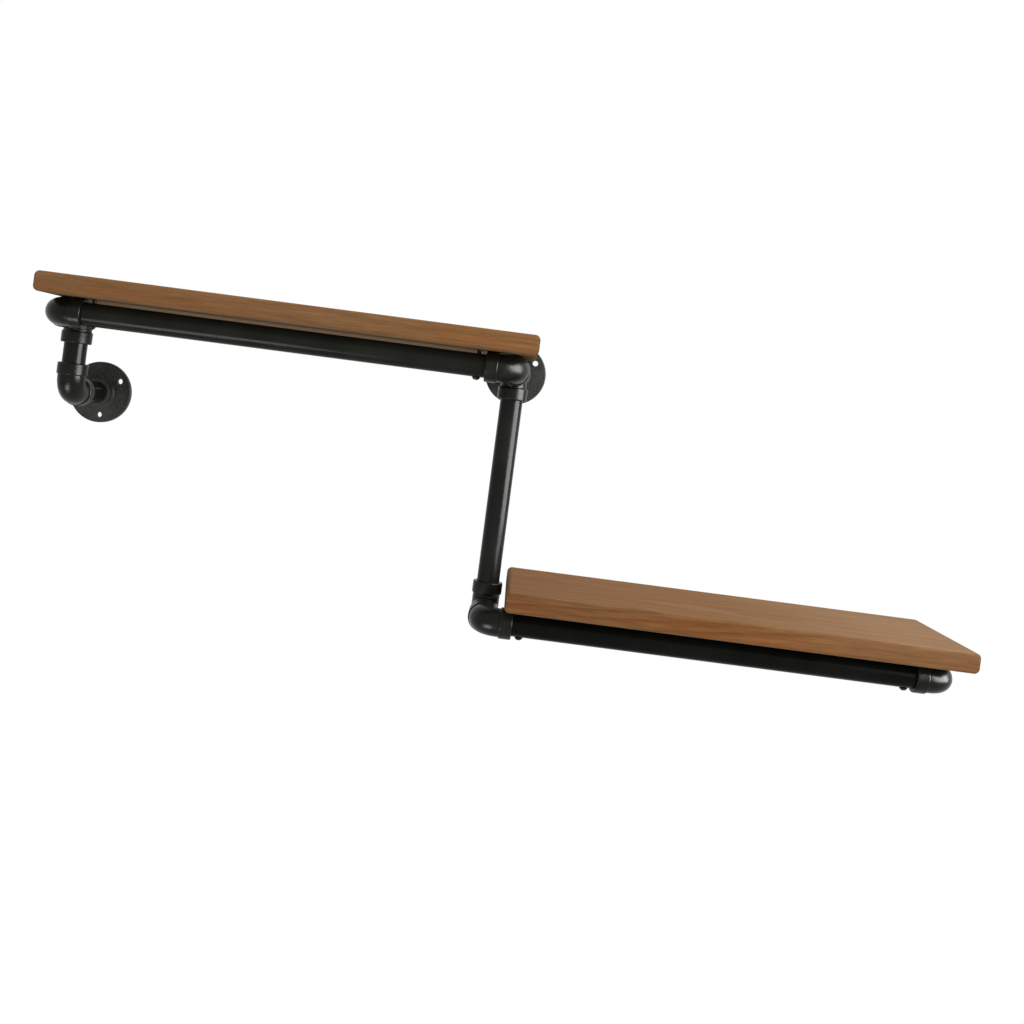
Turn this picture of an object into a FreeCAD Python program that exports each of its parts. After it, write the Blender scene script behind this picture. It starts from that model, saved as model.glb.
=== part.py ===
import FreeCAD, Part
import math
import os

# Two-tier stepped pipe shelf for a wall, in millimetres.
# The wall is the plane Y = 0 and the room is on the -Y side; X runs along the wall, Z is up.
# The origin is the centre of the corner flange's back face, on the wall.

# Pipe (3/4 inch steel pipe) and the cut lengths of its pieces
pipe_od = 26.9
pipe_wall = 2.65
rail_length = 490.0
riser_length = 250.0
drop_nipple_length = 55.0
wall_nipple_length = 80.0
pipe_edge_round = 0.6

# Screwed fittings: body, raised band at each mouth, bend and thread
fitting_wall = 2.65
band_proud = 1.5
band_width = 13.0
band_edge_round = 1.4
band_from_bend = 1.0
elbow_inner_radius = 1.8
thread_engagement = 15.5
thread_clearance = 0.1
thread_end_gap = 0.5
close_nipple_gap = 3.0
tee_branch_step = 0.8
tee_blend_radius = 3.0

# Wall flange
flange_od = 78.0
flange_rim = 6.5
flange_height = 20.0
flange_hub_below_band = 0.7
flange_hub_blend = 3.0
flange_edge_round = 1.5
flange_hole_d = 7.0
flange_hole_margin = 6.5
flange_hole_count = 3
flange_first_hole_angle = 35.0

# Boards
board_depth = 200.0
board_thickness = 23.0
board_edge_round = 3.0
board_end_extra_round = 3.0
board_seat_clearance = 0.2
board_wall_clearance = 1.5
upper_board_left_overhang = 15.0
upper_board_right_overhang = 24.0
lower_board_riser_clearance = 4.5
lower_board_right_overhang = 27.0

# Board screws
screw_d = 4.8
screw_head_d = 9.6
screw_head_height = 3.6
screw_bite = 16.0
screw_tip_length = 4.0
screw_from_fitting = 9.0
screw_hole_clearance = 0.3
screw_pilot_clearance = 0.05
screw_head_clearance = 0.05
screw_recess_length = 5.4
screw_recess_width = 1.1
screw_recess_depth = 1.8

# Radii that follow from the sizes above
pipe_r = pipe_od / 2
bore_r = pipe_r - pipe_wall
socket_r = pipe_r + thread_clearance
body_r = socket_r + fitting_wall
band_r = body_r + band_proud
flange_r = flange_od / 2
hub_r = band_r - flange_hub_below_band
bolt_circle_r = flange_r - flange_hole_margin - flange_hole_d / 2
screw_r = screw_d / 2

# Elbow bend and the reach of every fitting from its centre to its mouth
bend_r = body_r + elbow_inner_radius
socket_depth = thread_engagement + thread_end_gap
fitting_reach = bend_r + max(socket_depth, band_from_bend + band_proud + band_width)
pipe_end_from_centre = fitting_reach - thread_engagement

# Distances between fitting centres, from the pipes between them
rail_span = rail_length + 2 * pipe_end_from_centre
riser_span = riser_length + 2 * pipe_end_from_centre
drop_span = drop_nipple_length + 2 * pipe_end_from_centre
plane_offset = 2 * fitting_reach + close_nipple_gap
nipple_end_from_wall = flange_height - thread_engagement
rear_from_wall = nipple_end_from_wall + wall_nipple_length + pipe_end_from_centre
rail_from_wall = rear_from_wall + plane_offset
close_nipple_length = close_nipple_gap + 2 * thread_engagement
right_wall_nipple_length = rail_from_wall - pipe_end_from_centre - nipple_end_from_wall

# Places of the fittings: rails lie in the front plane, riser and drop nipple in the rear plane
front_y = -rail_from_wall
rear_y = -rear_from_wall
left_x = -rail_span
corner_x = 0.0
right_x = rail_span
upper_z = 0.0
left_flange_z = -drop_span
lower_z = -riser_span

# Places of the boards
board_seat = band_r + board_seat_clearance
board_back_y = -(flange_rim + board_wall_clearance)
board_front_y = board_back_y - board_depth
upper_board_left_x = left_x - upper_board_left_overhang
upper_board_right_x = corner_x + upper_board_right_overhang
lower_board_left_x = corner_x + band_r + lower_board_riser_clearance
lower_board_right_x = right_x + lower_board_right_overhang
screw_inset = fitting_reach + screw_from_fitting

# Board edges: long edges are eased, ends are rounded further; both stay well inside the thickness
widest_edge_share = 0.3
widest_end_share = 0.45
board_edge_r = min(board_edge_round, widest_edge_share * board_thickness)
board_end_r = min(board_edge_r + board_end_extra_round, widest_end_share * board_thickness)

right = FreeCAD.Vector(1, 0, 0)
left = FreeCAD.Vector(-1, 0, 0)
wallward = FreeCAD.Vector(0, 1, 0)
roomward = FreeCAD.Vector(0, -1, 0)
up = FreeCAD.Vector(0, 0, 1)
down = FreeCAD.Vector(0, 0, -1)
origin = FreeCAD.Vector(0, 0, 0)


def point(x, y, z):
    return FreeCAD.Vector(x, y, z)


def lathe(outline):
    """Solid turned about the local X axis from (along, radius) points; an arc is (via, end)."""
    edges = []
    start = None
    for step in outline:
        if isinstance(step[0], tuple):
            via, end = [point(along, radius, 0) for along, radius in step]
            edges.append(Part.Arc(start, via, end).toShape())
        else:
            end = point(step[0], step[1], 0)
            if start is not None:
                edges.append(Part.LineSegment(start, end).toShape())
        start = end
    first = point(outline[0][0], outline[0][1], 0)
    edges.append(Part.LineSegment(start, first).toShape())
    return Part.Face(Part.Wire(edges)).revolve(origin, right, 360)


def quarter(centre, radius, start_angle, end_angle):
    """Arc step for lathe: its middle point and its end, on a circle about centre."""
    def on_circle(angle):
        turn = math.radians(angle)
        return (centre[0] + radius * math.cos(turn), centre[1] + radius * math.sin(turn))
    return (on_circle((start_angle + end_angle) / 2), on_circle(end_angle))


def aim(shape, x_direction, y_direction, place):
    """Copy of a shape with its local X and Y axes turned to the given directions, at a place."""
    turn = FreeCAD.Rotation(x_direction, y_direction, x_direction.cross(y_direction), "XYZ")
    moved = shape.copy()
    moved.Placement = FreeCAD.Placement(place, turn)
    return moved


def rod(start, direction, length, radius):
    return Part.makeCylinder(radius, length, start, direction)


def pipe(start, direction, length):
    """Hollow pipe with eased ends, from start along direction."""
    side = up if abs(direction.dot(up)) < 0.5 else right
    ease = pipe_edge_round
    body = lathe([
        (0, bore_r),
        (0, pipe_r - ease),
        quarter((ease, pipe_r - ease), ease, 180, 90),
        (length - ease, pipe_r),
        quarter((length - ease, pipe_r - ease), ease, 90, 0),
        (length, bore_r),
    ])
    return aim(body, direction, side, start)


def arm(start, radius):
    """Outside of one fitting arm along local X, from start to its mouth, with its raised band."""
    band_rise = band_r - radius
    band_start = fitting_reach - band_width
    ease = band_edge_round
    return lathe([
        (start, 0),
        (start, radius),
        (band_start - band_rise, radius),
        quarter((band_start, radius), band_rise, 180, 90),
        (fitting_reach - ease, band_r),
        quarter((fitting_reach - ease, band_r - ease), ease, 90, 0),
        (fitting_reach, 0),
    ])


def arm_bore(start):
    """Inside of one fitting arm along local X: waterway, then the threaded socket."""
    waterway = rod(point(start, 0, 0), right, fitting_reach - start, bore_r)
    socket = rod(point(fitting_reach - socket_depth, 0, 0), right, socket_depth, socket_r)
    return waterway.fuse(socket)


def bend(radius):
    """Quarter bend from the local X arm to the local Y arm."""
    disc = Part.Face(Part.Wire(Part.makeCircle(radius, point(bend_r, 0, 0), right)))
    return disc.revolve(point(bend_r, bend_r, 0), up, -90)


def make_elbow():
    """Elbow about its centre, with one mouth along local X and the other along local Y."""
    outside = bend(body_r)
    inside = bend(bore_r)
    for direction, side in ((right, wallward), (wallward, left)):
        outside = outside.fuse(aim(arm(bend_r, body_r), direction, side, origin))
        inside = inside.fuse(aim(arm_bore(bend_r), direction, side, origin))
    return outside.removeSplitter().cut(inside).removeSplitter()


def make_tee():
    """Tee about its centre, with its run along local Y and its branch along local X."""
    branch_r = body_r - tee_branch_step
    run = aim(arm(0, body_r), wallward, left, origin).fuse(aim(arm(0, body_r), roomward, right, origin))
    outside = run.removeSplitter().fuse(arm(0, branch_r))
    saddle = [edge for edge in outside.Edges if is_saddle(edge, branch_r)]
    outside = outside.makeFillet(tee_blend_radius, saddle)
    inside = arm_bore(0)
    for direction, side in ((wallward, left), (roomward, right)):
        inside = inside.fuse(aim(arm_bore(0), direction, side, origin))
    return outside.cut(inside).removeSplitter()


def is_saddle(edge, branch_r):
    """True for an edge where the tee's branch runs into its run."""
    middle = edge.valueAt((edge.FirstParameter + edge.LastParameter) / 2)
    from_branch_axis = math.hypot(middle.y, middle.z)
    from_run_axis = math.hypot(middle.x, middle.z)
    tolerance = 0.01
    return abs(from_branch_axis - branch_r) < tolerance and abs(from_run_axis - body_r) < tolerance


def make_flange():
    """Wall flange along local X: back face at 0, hub towards the room."""
    ease = flange_edge_round
    blend = flange_hub_blend
    body = lathe([
        (0, 0),
        (0, flange_r),
        (flange_rim - ease, flange_r),
        quarter((flange_rim - ease, flange_r - ease), ease, 90, 0),
        (flange_rim, hub_r + blend),
        quarter((flange_rim + blend, hub_r + blend), blend, 180, 270),
        (flange_height - ease, hub_r),
        quarter((flange_height - ease, hub_r - ease), ease, 90, 0),
        (flange_height, 0),
    ])
    body = body.cut(rod(origin, right, flange_height, bore_r))
    body = body.cut(rod(point(flange_height - socket_depth, 0, 0), right, socket_depth, socket_r))
    for number in range(flange_hole_count):
        angle = math.radians(flange_first_hole_angle + 360 * number / flange_hole_count)
        start = point(0, bolt_circle_r * math.cos(angle), bolt_circle_r * math.sin(angle))
        body = body.cut(rod(start, right, flange_rim, flange_hole_d / 2))
    return body


def make_screw(length):
    """Pan-head screw along local X: head below 0, shank from 0 to length."""
    head_r = screw_head_d / 2
    crown_r = (head_r ** 2 + screw_head_height ** 2) / (2 * screw_head_height)
    crown_centre = crown_r - screw_head_height
    half_angle = math.degrees(math.asin(head_r / crown_r))
    body = lathe([
        (-screw_head_height, 0),
        quarter((crown_centre, 0), crown_r, 180, 180 - half_angle),
        (0, screw_r),
        (length - screw_tip_length, screw_r),
        (length, 0),
    ])
    for size_y, size_z in ((screw_recess_length, screw_recess_width), (screw_recess_width, screw_recess_length)):
        corner = point(-screw_head_height, -size_y / 2, -size_z / 2)
        body = body.cut(Part.makeBox(screw_recess_depth, size_y, size_z, corner))
    return body


def screw_places(first_x, last_x):
    """X of the two screws of a rail, one beside the fitting at each end."""
    return (first_x + screw_inset, last_x - screw_inset)


def drilled_rail(start_x, z, screw_xs):
    """Rail pipe with a clear hole through both walls for each screw."""
    rail = pipe(point(start_x + pipe_end_from_centre, front_y, z), right, rail_length)
    for x in screw_xs:
        hole = rod(point(x, front_y, z - pipe_od), up, 2 * pipe_od, screw_r + screw_hole_clearance)
        rail = rail.cut(hole)
    return rail


def runs_across(edge):
    """True for a board's edge that runs from its front to its back."""
    return edge.BoundBox.YLength > board_depth / 2


def board(left_x, right_x, rail_z, screw_xs):
    """Board with rounded ends, resting on the fittings' bands, with a pilot hole for each screw."""
    seat_z = rail_z + board_seat
    corner = point(left_x, board_front_y, seat_z)
    block = Part.makeBox(right_x - left_x, board_depth, board_thickness, corner)
    block = block.makeFillet(board_end_r, [edge for edge in block.Edges if runs_across(edge)])
    block = block.makeFillet(board_edge_r, [edge for edge in block.Edges if not runs_across(edge)])
    for x in screw_xs:
        pilot = rod(point(x, front_y, seat_z), up, screw_bite, screw_r + screw_pilot_clearance)
        block = block.cut(pilot)
    return block


def screw_pair(rail_z, screw_xs):
    """The two screws of a rail: heads under the pipe, tips in the board."""
    head_z = rail_z - pipe_r - screw_head_clearance
    length = rail_z + board_seat + screw_bite - head_z - thread_end_gap
    screw = make_screw(length)
    return Part.makeCompound([aim(screw, up, right, point(x, front_y, head_z)) for x in screw_xs])


elbow = make_elbow()
tee = make_tee()
flange = make_flange()
upper_screw_xs = screw_places(left_x, corner_x)
lower_screw_xs = screw_places(corner_x, right_x)


def elbow_at(first_mouth, second_mouth, x, y, z):
    return aim(elbow, first_mouth, second_mouth, point(x, y, z))


def flange_at(x, z):
    return aim(flange, roomward, right, point(x, 0, z))


def wall_nipple(x, z, length):
    return pipe(point(x, -nipple_end_from_wall, z), roomward, length)


def close_nipple(x, z):
    start_y = front_y + pipe_end_from_centre
    return pipe(point(x, start_y, z), wallward, close_nipple_length)


def upright(x, lower_centre_z, length):
    return pipe(point(x, rear_y, lower_centre_z + pipe_end_from_centre), up, length)


nodes = {
    "upper_board": board(upper_board_left_x, upper_board_right_x, upper_z, upper_screw_xs),
    "lower_board": board(lower_board_left_x, lower_board_right_x, lower_z, lower_screw_xs),
    "upper_rail": drilled_rail(left_x, upper_z, upper_screw_xs),
    "lower_rail": drilled_rail(corner_x, lower_z, lower_screw_xs),
    "riser_pipe": upright(corner_x, lower_z, riser_length),
    "left_front_elbow": elbow_at(right, wallward, left_x, front_y, upper_z),
    "left_close_nipple": close_nipple(left_x, upper_z),
    "left_drop_elbow": elbow_at(roomward, down, left_x, rear_y, upper_z),
    "drop_nipple": upright(left_x, left_flange_z, drop_nipple_length),
    "left_wall_elbow": elbow_at(up, wallward, left_x, rear_y, left_flange_z),
    "left_wall_nipple": wall_nipple(left_x, left_flange_z, wall_nipple_length),
    "left_flange": flange_at(left_x, left_flange_z),
    "corner_front_elbow": elbow_at(left, wallward, corner_x, front_y, upper_z),
    "corner_close_nipple": close_nipple(corner_x, upper_z),
    "corner_tee": aim(tee, down, wallward, point(corner_x, rear_y, upper_z)),
    "corner_wall_nipple": wall_nipple(corner_x, upper_z, wall_nipple_length),
    "corner_flange": flange_at(corner_x, upper_z),
    "foot_front_elbow": elbow_at(right, wallward, corner_x, front_y, lower_z),
    "foot_close_nipple": close_nipple(corner_x, lower_z),
    "foot_riser_elbow": elbow_at(roomward, up, corner_x, rear_y, lower_z),
    "right_end_elbow": elbow_at(left, wallward, right_x, front_y, lower_z),
    "right_wall_nipple": wall_nipple(right_x, lower_z, right_wall_nipple_length),
    "right_flange": flange_at(right_x, lower_z),
    "upper_board_screws": screw_pair(upper_z, upper_screw_xs),
    "lower_board_screws": screw_pair(lower_z, lower_screw_xs),
}

os.makedirs("parts", exist_ok=True)
for name, shape in nodes.items():
    shape.exportStep("parts/" + name + ".step")
    print(name, "valid" if shape.isValid() else "INVALID", len(shape.Solids), round(shape.Volume / 1000, 2), "cm3")
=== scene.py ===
"""Finishes, light and camera for a two-tier stepped pipe shelf, in metres, in the frame of its solids.

The wall is the plane Y = 0 and the room is on the -Y side; X runs along the wall and Z is up.
"""
import math
from typing import NamedTuple

import bpy
from mathutils import Matrix, Vector


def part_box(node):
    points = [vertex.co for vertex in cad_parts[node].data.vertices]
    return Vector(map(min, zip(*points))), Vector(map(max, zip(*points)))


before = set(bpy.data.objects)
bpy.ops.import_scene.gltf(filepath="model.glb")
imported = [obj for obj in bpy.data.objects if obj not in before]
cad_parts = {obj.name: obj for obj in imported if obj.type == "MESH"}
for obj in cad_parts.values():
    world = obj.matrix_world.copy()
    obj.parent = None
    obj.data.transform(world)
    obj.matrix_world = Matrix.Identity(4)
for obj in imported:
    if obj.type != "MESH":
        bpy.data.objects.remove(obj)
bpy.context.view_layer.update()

MM = 0.001

# Camera: square picture, level view, rolled so that the shelf runs down to the right
CAMERA_PLACE = (0.0093, -1.4518, -0.0370)
CAMERA_ROLL = math.radians(7.427)
CAMERA_LENS = 39.52
CAMERA_SENSOR = 36.0
CAMERA_SHIFT = (-0.0068, -0.1060)

# Studio: white surround, dim light from all sides, less of it from below, and a soft key lamp on the right.
# The gloss lamps show in reflections only: a large one on the right and a small one low at the front left.
AMBIENT_BELOW = 0.21
AMBIENT_ABOVE = 0.97
LAMP_TARGET = (0.0, -0.12, -0.12)
KEY_PLACE = (1.45, -1.25, 0.45)
KEY_SIZE = (1.4, 1.4)
KEY_POWER = 21.0
SIDE_PLACE = (1.85, -0.83, 0.38)
SIDE_SIZE = (1.8, 1.75)
SIDE_GLOSS_POWER = 300.0
LOW_PLACE = (-0.71, -0.93, -1.0)
LOW_SIZE = (0.60, 0.40)
LOW_GLOSS_POWER = 16.0

# Floor under the shelf; it fades to the white surround before its edge
FLOOR_Z = -1.2
FLOOR_CENTRE = (0.0, -0.75)
FLOOR_HALF = 1.15
FLOOR_FADE = (0.15, 1.10)
FLOOR_COLOUR = (0.80, 0.80, 0.79, 1.0)

WHITE = (1.0, 1.0, 1.0, 1.0)


class Graph:
    """Node tree of a material or a world, with short calls for the nodes used here."""

    # The Mix node's sockets for colours; it has others for numbers and vectors
    MIX_FACTOR = 0
    MIX_FIRST = 6
    MIX_SECOND = 7
    MIX_RESULT = 2

    def __init__(self, owner):
        owner.use_nodes = True
        self.owner = owner
        self.tree = owner.node_tree

    def feed(self, socket, value):
        if isinstance(value, bpy.types.NodeSocket):
            self.tree.links.new(value, socket)
        else:
            socket.default_value = value

    def add(self, kind, inputs=None, **settings):
        node = self.tree.nodes.new("ShaderNode" + kind)
        for key, value in settings.items():
            setattr(node, key, value)
        for key, value in (inputs or {}).items():
            self.feed(node.inputs[key], value)
        return node

    def place(self):
        """Position in the object's own frame, in metres."""
        return self.add("TexCoord").outputs["Object"]

    def math(self, operation, *values):
        return self.add("Math", dict(enumerate(values)), operation=operation).outputs[0]

    def vector(self, operation, *values):
        node = self.add("VectorMath", dict(enumerate(values)), operation=operation)
        return node.outputs["Value" if operation == "LENGTH" else "Vector"]

    def split(self, vector):
        return self.add("SeparateXYZ", {"Vector": vector}).outputs

    def stretched(self, vector, scale, offset=(0.0, 0.0, 0.0)):
        return self.add("Mapping", {"Vector": vector, "Scale": scale, "Location": offset}).outputs[0]

    def noise(self, vector, scale=1.0, detail=2.0, roughness=0.5, output="Fac"):
        inputs = {"Vector": vector, "Scale": scale, "Detail": detail, "Roughness": roughness}
        return self.add("TexNoise", inputs).outputs[output]

    def ease(self, value, low, high, low_out=0.0, high_out=1.0):
        """Smooth step of a value between two limits."""
        inputs = {"Value": value, "From Min": low, "From Max": high, "To Min": low_out, "To Max": high_out}
        return self.add("MapRange", inputs, interpolation_type="SMOOTHSTEP").outputs[0]

    def product(self, *values):
        result = values[0]
        for value in values[1:]:
            result = self.math("MULTIPLY", result, value)
        return result

    def mix(self, factor, first, second, blend="MIX"):
        inputs = {self.MIX_FACTOR: factor, self.MIX_FIRST: first, self.MIX_SECOND: second}
        return self.add("Mix", inputs, data_type="RGBA", blend_type=blend).outputs[self.MIX_RESULT]

    def bump(self, height, distance, strength):
        return self.add("Bump", {"Height": height, "Distance": distance, "Strength": strength}).outputs[0]

    def seen_rays(self):
        """1 for rays from the camera, in a mirror or through glass, which see the plain background."""
        path = self.add("LightPath").outputs
        mirrored = self.math("MAXIMUM", path["Is Glossy Ray"], path["Is Transmission Ray"])
        return self.math("MAXIMUM", path["Is Camera Ray"], mirrored)

    def show(self, output, shader):
        self.feed(self.tree.nodes[output].inputs["Surface"], shader.outputs[0])

    def finish(self, colour, roughness, specular, normal=None):
        shader = self.tree.nodes["Principled BSDF"]
        self.feed(shader.inputs["Base Color"], colour)
        self.feed(shader.inputs["Roughness"], roughness)
        self.feed(shader.inputs["Specular IOR Level"], specular)
        if normal is not None:
            self.feed(shader.inputs["Normal"], normal)
        return shader


class Grain(NamedTuple):
    """Noise drawn out along a board, with this many features in a metre along and across it.

    It gives the first amount up to its lower level, the second from its upper level on.
    """

    along: float
    across: float
    levels: tuple
    amounts: tuple
    detail: float
    roughness: float = 0.5


# Wood of the boards: stained softwood, flat sawn, grain along X
EARLY_WOOD = (0.268, 0.130, 0.050, 1.0)
TAN_WOOD = (0.256, 0.143, 0.066, 1.0)
ORANGE_WOOD = (0.258, 0.102, 0.034, 1.0)
VEIN_WOOD = (0.140, 0.056, 0.021, 1.0)
# Painted light and sheen towards a board's right end, mostly on its upper part
PAINTED_LIGHT_WOOD = (0.330, 0.197, 0.104, 1.0)
# Less stained underside, greyer and darker with painted shade
BARE_SHADED_WOOD = (0.190, 0.132, 0.076, 1.0)
WORN_WOOD = (0.330, 0.200, 0.110, 1.0)
LATE_TINT = (0.58, 0.47, 0.38, 1.0)
# Sawn front and back faces: darker stain and painted shade against the top
EDGE_STAIN_AND_SHADE = (0.82, 0.74, 0.68, 1.0)

# Features of the grain, from broad to fine; streaks and fibres lighten and darken, the rest are shares
TAN_BANDS = Grain(2.4, 15.0, levels=(0.40, 0.66), amounts=(0.0, 0.80), detail=1.5)
ORANGE_BANDS = Grain(3.2, 30.0, levels=(0.46, 0.68), amounts=(0.0, 0.55), detail=2.0)
VEINS = Grain(2.6, 60.0, levels=(0.50, 0.66), amounts=(0.0, 0.15), detail=4.0, roughness=0.62)
STREAKS = Grain(5.0, 120.0, levels=(0.28, 0.72), amounts=(0.92, 1.08), detail=3.0, roughness=0.6)
FIBRES = Grain(22.0, 420.0, levels=(0.25, 0.75), amounts=(0.83, 1.17), detail=3.0, roughness=0.6)
PORES = Grain(80.0, 2200.0, levels=(0.64, 0.74), amounts=(0.0, 1.0), detail=1.0)

# The grain wanders from side to side: bends in a metre each way, and how far
NOISE_MIDDLE = (0.5, 0.5, 0.5)
DRIFT_BENDS = (4.0, 9.0, 9.0)
GRAIN_DRIFT = 16.0 * MM

# Growth rings: late wood darkens through most of a ring, then ends sharply; years differ
RING_SPACING = 6.5 * MM
LATE_RISE = (0.35, 0.90)
LATE_STOP = (0.91, 1.0)
FAINT_YEAR = 0.30
YEAR_SPREAD = 0.50

# How squarely a face looks sideways, down or to an end before it counts as an edge, underside or end
EDGE_FACING = (0.40, 0.90)
END_FACING = (0.25, 0.85)

# Share of bare wood with painted shade on the underside, and what end grain and pores leave of the colour
BARE_SHADED_STRENGTH = 0.7
END_SHADE = 0.55
PORE_SHADE = 0.75

# Painted light and sheen come in over this span, in half lengths of the board from its middle to the right,
# and the board's lower half has only this share of it
PAINTED_LIGHT_SPAN = (-0.2, 0.9)
PAINTED_LIGHT_BELOW = 0.4

# Corners rubbed pale: how far in, patches in a metre, noise levels and strength
RUB_REACH = (0.3 * MM, 2.4 * MM)
RUB_PATCHES = (60.0, 160.0, 160.0)
RUB_LEVELS = (0.50, 0.70)
RUB_STRENGTH = 0.30

# Sheen and relief of the wood; late wood is smoother, and pores are sunk
WAX_LEVELS = (0.2, 0.8)
WAX_ROUGHNESS = (0.66, 0.80)
LATE_SMOOTHING = -0.08
FIBRE_HEIGHT = 0.5
LATE_HEIGHT = 0.35
PORE_HEIGHT = -0.5
WOOD_RELIEF = 0.12 * MM
WOOD_BUMP = 0.6
WOOD_SPECULAR = 0.05


def edge_nearness(graph, place, low, high):
    """Distance in from the nearest edge of a box, over its faces: small along edges, smaller at corners."""
    half = tuple((high - low) / 2)
    from_middle = graph.vector("SUBTRACT", place, tuple((low + high) / 2))
    x, y, z = graph.split(graph.vector("SUBTRACT", half, graph.vector("ABSOLUTE", from_middle)))
    lesser = graph.math("MINIMUM", x, y)
    greater = graph.math("MAXIMUM", x, y)
    return graph.math("MAXIMUM", lesser, graph.math("MINIMUM", greater, z))


def drifting(graph, from_centre, offset):
    """Position in a log whose grain wanders from side to side along the board."""
    drift = graph.noise(graph.stretched(from_centre, DRIFT_BENDS, offset), output="Color")
    drift = graph.vector("SUBTRACT", drift, NOISE_MIDDLE)
    drift = graph.vector("MULTIPLY", drift, (0.0, GRAIN_DRIFT, GRAIN_DRIFT))
    return graph.vector("ADD", from_centre, drift)


def late_wood(graph, in_log, pith, lean, contrast):
    """Dark part of each growth ring about the log's centre line."""
    x, y, z = graph.split(in_log)
    across = graph.math("SUBTRACT", y, graph.math("MULTIPLY_ADD", x, lean[0], pith[0]))
    height = graph.math("SUBTRACT", z, graph.math("MULTIPLY_ADD", x, lean[1], pith[1]))
    radius = graph.vector("LENGTH", graph.add("CombineXYZ", {"Y": across, "Z": height}).outputs[0])
    rings = graph.math("DIVIDE", radius, RING_SPACING)
    phase = graph.math("FRACT", rings)
    chance = graph.add("TexWhiteNoise", {"W": graph.math("FLOOR", rings)}, noise_dimensions="1D")
    year = graph.math("MULTIPLY_ADD", chance.outputs["Value"], YEAR_SPREAD, FAINT_YEAR)
    dark = graph.math("MULTIPLY", graph.ease(phase, *LATE_RISE), graph.ease(phase, *LATE_STOP, 1.0, 0.0))
    return graph.product(dark, contrast, year)


def board_wood(name, node, pith, lean, contrast, edge_stain_and_shade, pale_end, offset):
    """Stained wood for one board.

    pith is the log's centre from the board's and lean its drift along X; contrast is how dark the rings
    are, edge_stain_and_shade how dark the sawn long edges are from stain and painted shade, and pale_end
    the share of painted light and sheen at the right end.
    """
    graph = Graph(bpy.data.materials.new(name))
    low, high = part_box(node)
    half = (high - low) / 2
    place = graph.place()
    from_centre = graph.vector("SUBTRACT", place, tuple((low + high) / 2))
    in_log = drifting(graph, from_centre, offset)
    normal = graph.split(graph.add("NewGeometry").outputs["Normal"])

    def noise_of(grain):
        squeezed = graph.stretched(in_log, (grain.along, grain.across, grain.across), offset)
        return graph.noise(squeezed, detail=grain.detail, roughness=grain.roughness)

    def amount_of(grain):
        return graph.ease(noise_of(grain), *grain.levels, *grain.amounts)

    # Broad changes between tan and orange, then dark veins and rings
    colour = graph.mix(amount_of(TAN_BANDS), EARLY_WOOD, TAN_WOOD)
    colour = graph.mix(amount_of(ORANGE_BANDS), colour, ORANGE_WOOD)
    colour = graph.mix(amount_of(VEINS), colour, VEIN_WOOD)
    late = late_wood(graph, in_log, pith, lean, contrast)
    colour = graph.mix(late, colour, LATE_TINT, blend="MULTIPLY")

    # Painted light and sheen at the right, most of it above; sawn edges darker from stain and painted
    # shade, and an underside with less stain, greyer and darker from painted shade
    along, _, height = graph.split(from_centre)
    rightward = graph.ease(along, PAINTED_LIGHT_SPAN[0] * half[0], PAINTED_LIGHT_SPAN[1] * half[0], 0.0, pale_end)
    upward = graph.ease(height, 0.0, half[2], PAINTED_LIGHT_BELOW, 1.0)
    colour = graph.mix(graph.product(rightward, upward), colour, PAINTED_LIGHT_WOOD)
    sawn_edge_stain_and_shade = graph.ease(graph.math("ABSOLUTE", normal[1]), *EDGE_FACING, 0.0, edge_stain_and_shade)
    colour = graph.mix(sawn_edge_stain_and_shade, colour, EDGE_STAIN_AND_SHADE, blend="MULTIPLY")
    underside = graph.ease(normal[2], -EDGE_FACING[1], -EDGE_FACING[0], 1.0, 0.0)
    colour = graph.mix(graph.math("MULTIPLY", underside, BARE_SHADED_STRENGTH), colour, BARE_SHADED_WOOD)

    # Streaks, fibres and pores; end grain soaks up more stain
    fibre = noise_of(FIBRES)
    pore = amount_of(PORES)
    fibre_shade = graph.ease(fibre, *FIBRES.levels, *FIBRES.amounts)
    pore_shade = graph.ease(pore, 0.0, 1.0, 1.0, PORE_SHADE)
    end_shade = graph.ease(graph.math("ABSOLUTE", normal[0]), *END_FACING, 1.0, END_SHADE)
    shade = graph.product(amount_of(STREAKS), fibre_shade, pore_shade, end_shade)
    colour = graph.mix(1.0, colour, shade, blend="MULTIPLY")

    # Corners rubbed pale here and there
    corner = graph.ease(edge_nearness(graph, place, low, high), *RUB_REACH, 1.0, 0.0)
    patch = graph.noise(graph.stretched(place, RUB_PATCHES, offset), detail=3.0)
    rubbed = graph.math("MULTIPLY", corner, graph.ease(patch, *RUB_LEVELS, 0.0, RUB_STRENGTH))
    colour = graph.mix(rubbed, colour, WORN_WOOD)

    # The underside has no wax
    wax = graph.ease(fibre, *WAX_LEVELS, *WAX_ROUGHNESS)
    roughness = graph.math("MAXIMUM", graph.math("MULTIPLY_ADD", late, LATE_SMOOTHING, wax), underside)
    relief = graph.math("MULTIPLY_ADD", fibre, FIBRE_HEIGHT, graph.math("MULTIPLY", late, LATE_HEIGHT))
    relief = graph.math("MULTIPLY_ADD", pore, PORE_HEIGHT, relief)
    graph.finish(colour, roughness, WOOD_SPECULAR, graph.bump(relief, WOOD_RELIEF, WOOD_BUMP))
    return graph.owner


# Black metal: lacquered pipe, cast fittings, duller cast flanges, screws; dark and light patches of each
PIPE_BLACK = ((0.0042, 0.0046, 0.0033, 1.0), (0.0074, 0.0080, 0.0062, 1.0))
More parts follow.
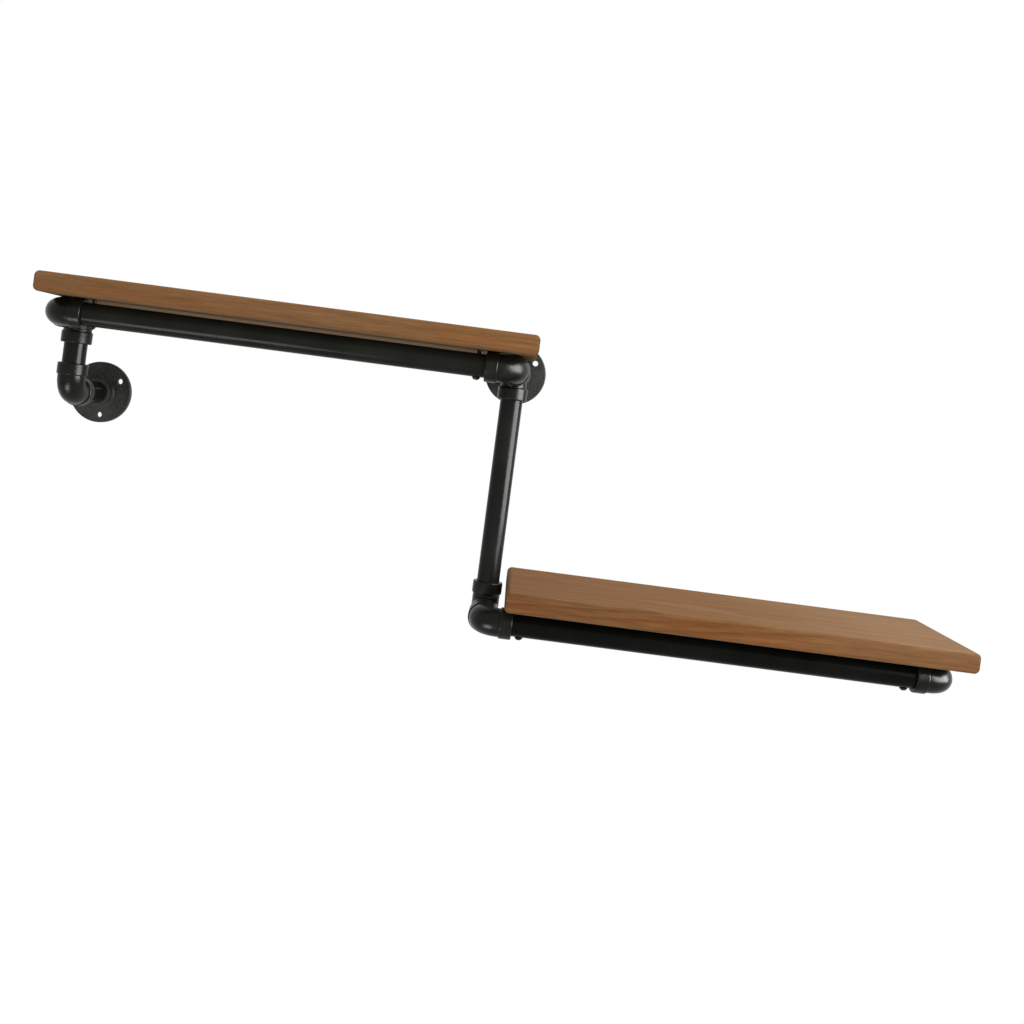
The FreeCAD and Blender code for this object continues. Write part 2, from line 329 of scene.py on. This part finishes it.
# Painted light: the upper rail and the uprights are lighter copies of the pipe black
UPPER_RAIL_LIT_BLACK = ((0.0150, 0.0152, 0.0122, 1.0), (0.0210, 0.0214, 0.0174, 1.0))
UPRIGHT_LIT_BLACK = ((0.0105, 0.0108, 0.0090, 1.0), (0.0170, 0.0172, 0.0150, 1.0))
CAST_BLACK = ((0.0048, 0.0052, 0.0036, 1.0), (0.0150, 0.0150, 0.0116, 1.0))
FLANGE_BLACK = ((0.0150, 0.0165, 0.0125, 1.0), (0.0560, 0.0585, 0.0500, 1.0))
SCREW_BLACK = ((0.0060, 0.0064, 0.0055, 1.0), (0.0130, 0.0135, 0.0122, 1.0))
CLOUD_LEVELS = (0.30, 0.70)

# Lacquer: features in a metre, then sheen and relief
LINES_ALONG = 9.0
LINES_ACROSS = 900.0
ORANGE_PEEL = 420.0
LACQUER_CLOUDS = 16.0
LACQUER_PATCHES = (0.35, 0.70)
LACQUER_ROUGHNESS = (0.14, 0.20)
LINE_ROUGHNESS = 0.08
LINE_HEIGHT = 0.4
LACQUER_RELIEF = 0.05 * MM
LACQUER_BUMP = 0.5

# Cast surface: lumps and pits for each grain, clouds in a metre, then relief
LUMPS = 0.16
PITS = 0.35
PIT_REACH = (0.05, 0.22)
CAST_CLOUDS = 22.0
CAST_PATCHES = (0.40, 0.62)
GRAIN_HEIGHT = 0.55
LUMP_HEIGHT = 1.1
PIT_DEPTH = 0.25
CAST_BUMP = 0.7


def pipe_lacquer(name, blacks, specular, along):
    """Black lacquer on drawn pipe: faint lines along the pipe and slight orange peel."""
    graph = Graph(bpy.data.materials.new(name))
    place = graph.place()
    squeeze = [LINES_ALONG if axis == along else LINES_ACROSS for axis in range(3)]
    lines = graph.noise(graph.stretched(place, squeeze), detail=3.0, roughness=0.6)
    peel = graph.noise(place, ORANGE_PEEL, detail=1.0)
    cloud = graph.noise(place, LACQUER_CLOUDS, detail=3.0)
    colour = graph.mix(graph.ease(cloud, *LACQUER_PATCHES), *blacks)
    sheen = graph.ease(cloud, *CLOUD_LEVELS, *LACQUER_ROUGHNESS)
    roughness = graph.math("MULTIPLY_ADD", lines, LINE_ROUGHNESS, sheen)
    height = graph.math("MULTIPLY_ADD", lines, LINE_HEIGHT, peel)
    graph.finish(colour, roughness, specular, graph.bump(height, LACQUER_RELIEF, LACQUER_BUMP))
    return graph.owner


def cast_iron(name, blacks, grain_size, grain_depth, roughness_range, specular):
    """Black painted cast iron: sand-cast grain, shallow pits and uneven sheen."""
    graph = Graph(bpy.data.materials.new(name))
    place = graph.place()
    grain = graph.noise(place, 1.0 / grain_size, detail=3.0, roughness=0.6)
    lump = graph.noise(place, LUMPS / grain_size)
    cells = graph.add("TexVoronoi", {"Vector": place, "Scale": PITS / grain_size})
    pit = graph.ease(cells.outputs["Distance"], *PIT_REACH)
    cloud = graph.noise(place, CAST_CLOUDS, detail=4.0, roughness=0.6)
    mean = graph.math("DIVIDE", graph.math("ADD", grain, cloud), 2.0)
    colour = graph.mix(graph.ease(mean, *CAST_PATCHES), *blacks)
    roughness = graph.ease(cloud, *CLOUD_LEVELS, *roughness_range)
    height = graph.math("MULTIPLY_ADD", grain, GRAIN_HEIGHT, graph.math("MULTIPLY", lump, LUMP_HEIGHT))
    height = graph.math("MULTIPLY_ADD", pit, PIT_DEPTH, height)
    graph.finish(colour, roughness, specular, graph.bump(height, grain_depth, CAST_BUMP))
    return graph.owner


def dress(names, material):
    for name in names:
        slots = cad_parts[name].data.materials
        slots.clear()
        slots.append(material)


def ending(*words):
    return [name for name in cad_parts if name.endswith(words)]


ALONG_X = 0
ALONG_Y = 1
ALONG_Z = 2
dress(["upper_board"], board_wood(
    "upper_board_wood", "upper_board", pith=(0.030, -0.075), lean=(0.020, 0.012), contrast=0.4,
    edge_stain_and_shade=0.35, pale_end=0.0, offset=(3.1, 7.7, 1.3)))
dress(["lower_board"], board_wood(
    "lower_board_wood", "lower_board", pith=(-0.035, -0.062), lean=(-0.050, 0.016), contrast=0.70,
    edge_stain_and_shade=1.0, pale_end=0.7, offset=(8.4, 2.9, 5.6)))
# The upper rail and the uprights get lighter blacks than the other pipes: painted light
dress(["upper_rail"], pipe_lacquer("upper_rail_lacquer", UPPER_RAIL_LIT_BLACK, specular=0.04, along=ALONG_X))
dress(["lower_rail"], pipe_lacquer("lower_rail_lacquer", PIPE_BLACK, specular=0.04, along=ALONG_X))
uprights = ["riser_pipe", "drop_nipple"]
dress(uprights, pipe_lacquer("upright_lacquer", UPRIGHT_LIT_BLACK, specular=0.08, along=ALONG_Z))
nipples = [name for name in ending("_nipple") if name not in uprights]
dress(nipples, pipe_lacquer("nipple_lacquer", PIPE_BLACK, specular=0.09, along=ALONG_Y))
fittings = ending("_elbow", "_tee")
dress(fittings, cast_iron(
    "fitting_iron", CAST_BLACK, grain_size=1.3 * MM, grain_depth=0.24 * MM, roughness_range=(0.22, 0.36),
    specular=0.11))
flanges = ending("_flange")
dress(flanges, cast_iron(
    "flange_iron", FLANGE_BLACK, grain_size=2.2 * MM, grain_depth=0.55 * MM, roughness_range=(0.45, 0.60),
    specular=0.12))
screws = ending("_screws")
dress(screws, cast_iron(
    "screw_black", SCREW_BLACK, grain_size=0.5 * MM, grain_depth=0.02 * MM, roughness_range=(0.34, 0.44),
    specular=0.10))


def studio_world():
    """White to the camera and in reflections; the dim light on the object is weaker from below."""
    graph = Graph(bpy.data.worlds.new("studio"))
    upward = graph.split(graph.add("TexCoord").outputs["Generated"])[2]
    ends = {"From Min": -1.0, "From Max": 1.0, "To Min": AMBIENT_BELOW, "To Max": AMBIENT_ABOVE}
    level = graph.add("MapRange", {"Value": upward, **ends}).outputs[0]
    light = graph.add("Background", {"Color": WHITE, "Strength": level})
    backdrop = graph.add("Background", {"Color": WHITE, "Strength": 1.0})
    surround = graph.add("MixShader", {0: graph.seen_rays(), 1: light.outputs[0], 2: backdrop.outputs[0]})
    graph.show("World Output", surround)
    bpy.context.scene.world = graph.owner


def link(obj):
    bpy.context.scene.collection.objects.link(obj)
    return obj


def soft_lamp(name, place, size, power, gloss_only=False):
    lamp = bpy.data.lights.new(name, "AREA")
    lamp.shape = "RECTANGLE"
    lamp.size, lamp.size_y = size
    lamp.energy = power
    obj = link(bpy.data.objects.new(name, lamp))
    obj.location = place
    obj.rotation_euler = (Vector(LAMP_TARGET) - Vector(place)).to_track_quat("-Z", "Y").to_euler()
    obj.visible_camera = False
    obj.visible_diffuse = not gloss_only
    return obj


def shine_on(lamp, names):
    """Keeps a lamp's light to the named nodes."""
    lit = bpy.data.collections.new(lamp.name + "_nodes")
    for name in names:
        lit.objects.link(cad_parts[name])
    lamp.light_linking.receiver_collection = lit


def floor():
    """Pale floor that keeps the shadow under the shelf and fades to white further out."""
    x, y = FLOOR_CENTRE
    signs = ((-1, -1), (1, -1), (1, 1), (-1, 1))
    corners = [(x + i * FLOOR_HALF, y + j * FLOOR_HALF, FLOOR_Z) for i, j in signs]
    mesh = bpy.data.meshes.new("floor")
    mesh.from_pydata(corners, [], [(0, 1, 2, 3)])
    graph = Graph(bpy.data.materials.new("pale_floor"))
    away = graph.vector("LENGTH", graph.vector("SUBTRACT", graph.place(), (x, y, FLOOR_Z)))
    plain = graph.finish(FLOOR_COLOUR, roughness=0.8, specular=0.1)
    white = graph.add("Emission", {"Color": WHITE, "Strength": 1.0})
    fade = graph.math("MULTIPLY", graph.ease(away, *FLOOR_FADE), graph.seen_rays())
    faded = graph.add("MixShader", {0: fade, 1: plain.outputs[0], 2: white.outputs[0]})
    graph.show("Material Output", faded)
    mesh.materials.append(graph.owner)
    link(bpy.data.objects.new("floor", mesh))


def camera():
    data = bpy.data.cameras.new("camera")
    data.sensor_width = CAMERA_SENSOR
    data.lens = CAMERA_LENS
    data.shift_x, data.shift_y = CAMERA_SHIFT
    obj = link(bpy.data.objects.new("camera", data))
    level = Matrix.Rotation(math.radians(90), 4, "X")
    obj.matrix_world = Matrix.Translation(CAMERA_PLACE) @ level @ Matrix.Rotation(CAMERA_ROLL, 4, "Z")
    bpy.context.scene.camera = obj


studio_world()
soft_lamp("key_lamp", KEY_PLACE, KEY_SIZE, KEY_POWER)
# Along the boards and rails the side lamp would be a white glare, seen from the left
side_lamp = soft_lamp("side_gloss_lamp", SIDE_PLACE, SIDE_SIZE, SIDE_GLOSS_POWER, gloss_only=True)
shine_on(side_lamp, fittings + flanges + nipples + screws + uprights)
soft_lamp("low_gloss_lamp", LOW_PLACE, LOW_SIZE, LOW_GLOSS_POWER, gloss_only=True)
floor()
camera()
bpy.context.scene.view_settings.view_transform = "Standard"
